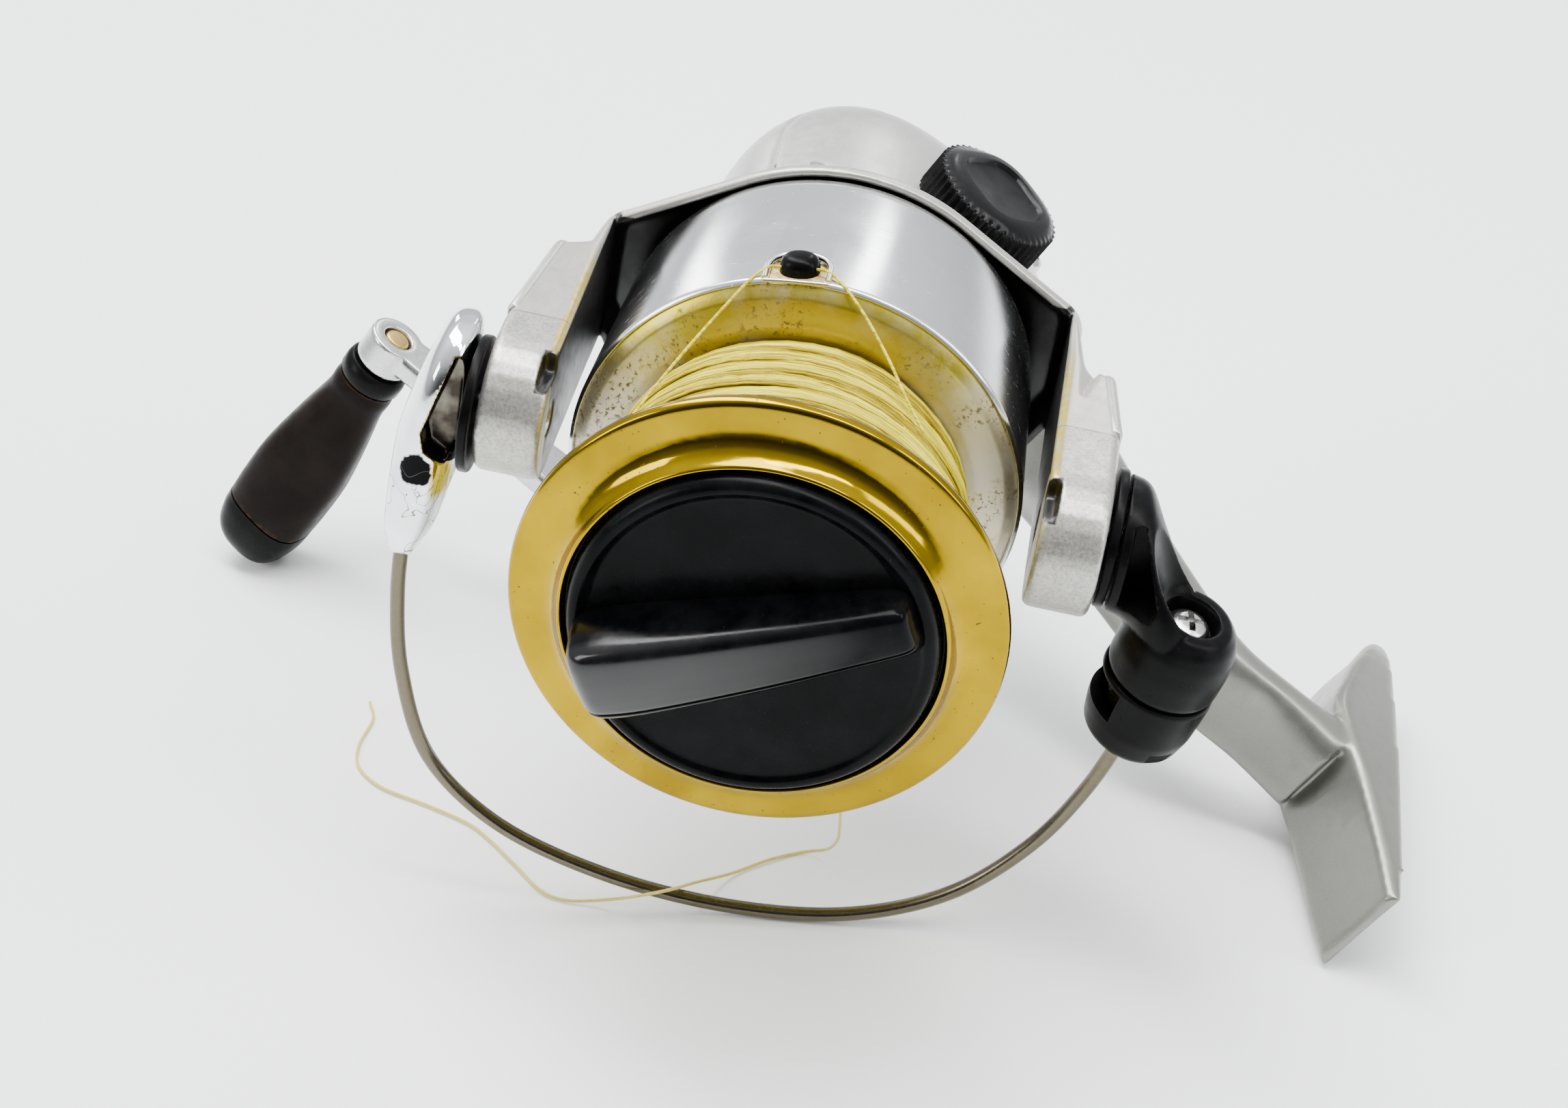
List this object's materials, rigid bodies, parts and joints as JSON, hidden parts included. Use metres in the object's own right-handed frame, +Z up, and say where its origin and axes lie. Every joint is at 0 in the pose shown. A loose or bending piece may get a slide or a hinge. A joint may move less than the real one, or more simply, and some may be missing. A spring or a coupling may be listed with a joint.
{
  "type": "spinning reel",
  "caption": "Front-drag fishing reel with a folding wire bail, a line roller, a hand crank and a foot, lying on its side with a short loose end of line.",
  "frame": {"origin": "bottom centre of the box of the reel as it lies on its side, without the loose end of line", "axes": "+Y along the spool axis to the rear, +Z up from the ground that the reel lies on, +X towards the foot"},
  "size_m": [0.184, 0.1274, 0.0926],
  "materials": {
    "silver_paint": "satin metallic silver paint, worn brown at its edges",
    "polished_aluminium": "turned and polished",
    "chrome": "bright chrome plate over plastic, chipped",
    "gold_anodised": "gold anodised, mirror bright, speckled with corrosion",
    "steel": "plain steel",
    "wire": "drawn stainless wire",
    "brass": "dull brass",
    "black_plastic": "moulded black plastic",
    "black_gloss": "glossy black",
    "cream_plastic": "yellowed cream plastic",
    "felt": "oiled felt",
    "braid": "yellow-green braided line"
  },
  "bodies": {
    "frame": {"body_housing": "silver_paint", "side_cover": "silver_paint", "cover_screw_1": "steel", "cover_screw_2": "steel", "cover_screw_3": "steel", "pinion_bearing": "steel", "anti_reverse_clutch": "steel", "handle_bearing_left": "steel", "handle_bearing_right": "steel", "guide_rod": "steel", "line_tail": "braid"},
    "anti_reverse": {"anti_reverse_lever": "black_plastic"},
    "handle": {"drive_gear": "brass", "drive_shaft": "steel", "screw_cap": "black_plastic", "crank_arm": "silver_paint", "knob_rivet": "brass"},
    "knob": {"knob_collar": "black_plastic", "crank_knob": "black_plastic", "knob_end_cap": "black_gloss"},
    "oscillator": {"oscillation_gear": "brass"},
    "shaft": {"main_shaft": "steel", "shaft_pin": "steel", "oscillation_slider": "brass", "click_ratchet": "black_plastic", "drag_washer_1": "steel", "drag_washer_2": "steel"},
    "spool": {"spool_body": "gold_anodised", "spool_lip": "gold_anodised", "spool_skirt": "polished_aluminium", "clip_seat": "cream_plastic", "line_clip": "black_plastic", "line_winding": "braid", "spool_bush": "black_plastic", "drag_felt_1": "felt", "drag_felt_2": "felt", "drag_felt_3": "felt", "drag_retainer": "steel"},
    "drag": {"drag_knob": "black_plastic", "drag_nut": "brass", "drag_spring": "steel"},
    "rotor": {"rotor_frame": "silver_paint", "arm_cover_roller": "silver_paint", "arm_cover_bail": "silver_paint", "bail_spring": "steel", "kick_lever": "black_plastic", "pivot_washer_roller": "black_plastic", "pivot_washer_bail": "black_plastic", "rotor_nut": "brass", "pinion_gear": "brass"},
    "bail": {"bail_arm": "chrome", "pivot_screw_bail": "steel", "pivot_screw_roller": "steel", "roller_arm": "black_plastic", "wire_holder": "black_plastic", "bail_wire": "wire", "roller_screw": "steel", "roller_bush": "brass"},
    "roller": {"line_roller": "black_gloss"}
  },
  "joints": [
    {"name": "handle_turn", "type": "hinge", "parent": "frame", "child": "handle", "pos_m": [0.01515, 0.03185, 0.05687], "axis": [-0.5707, 0, -0.8211], "continuous": true, "deforming": ["line_tail"]},
    {"name": "rotor_spin", "type": "hinge", "parent": "frame", "child": "rotor", "pos_m": [0.00858, 0.01035, 0.06144], "axis": [0, 1, 0], "continuous": true, "deforming": ["line_tail"]},
    {"name": "oscillator_spin", "type": "hinge", "parent": "frame", "child": "oscillator", "pos_m": [0.00848, 0.04435, 0.05603], "axis": [-0.5707, 0, -0.8211], "continuous": true},
    {"name": "knob_spin", "type": "hinge", "parent": "handle", "child": "knob", "pos_m": [-0.07485, 0.04135, 0.022], "axis": [-0.5707, 0, -0.8211], "continuous": true},
    {"name": "shaft_stroke", "type": "slide", "parent": "frame", "child": "shaft", "axis": [0, -1, 0], "range_m": [0, 0.014], "deforming": ["line_tail"]},
    {"name": "spool_turn", "type": "hinge", "parent": "shaft", "child": "spool", "pos_m": [0.00858, -0.03465, 0.06144], "axis": [0, 1, 0], "continuous": true, "deforming": ["line_tail"]},
    {"name": "drag_knob_turn", "type": "hinge", "parent": "shaft", "child": "drag", "pos_m": [0.00858, -0.05265, 0.06144], "axis": [0, 1, 0], "range_deg": [-180, 540]},
    {"name": "bail_open", "type": "hinge", "parent": "rotor", "child": "bail", "pos_m": [0.00965, -0.02715, 0.06836], "axis": [-0.9882, 0, 0.153], "range_deg": [0, 125], "deforming": ["line_tail"]},
    {"name": "roller_spin", "type": "hinge", "parent": "bail", "child": "roller", "pos_m": [0.05672, -0.03235, 0.04274], "axis": [-0.3271, 0.1017, -0.9395], "continuous": true},
    {"name": "anti_reverse_switch", "type": "hinge", "parent": "frame", "child": "anti_reverse", "pos_m": [-0.01411, 0.05335, 0.06138], "axis": [-0.5707, 0, -0.8211], "range_deg": [0, 20]}
  ],
  "couplings": [
    {"joint": "rotor_spin", "follows": "handle_turn", "ratio": -4.875},
    {"joint": "oscillator_spin", "follows": "handle_turn", "ratio": -0.6875}
  ]
}
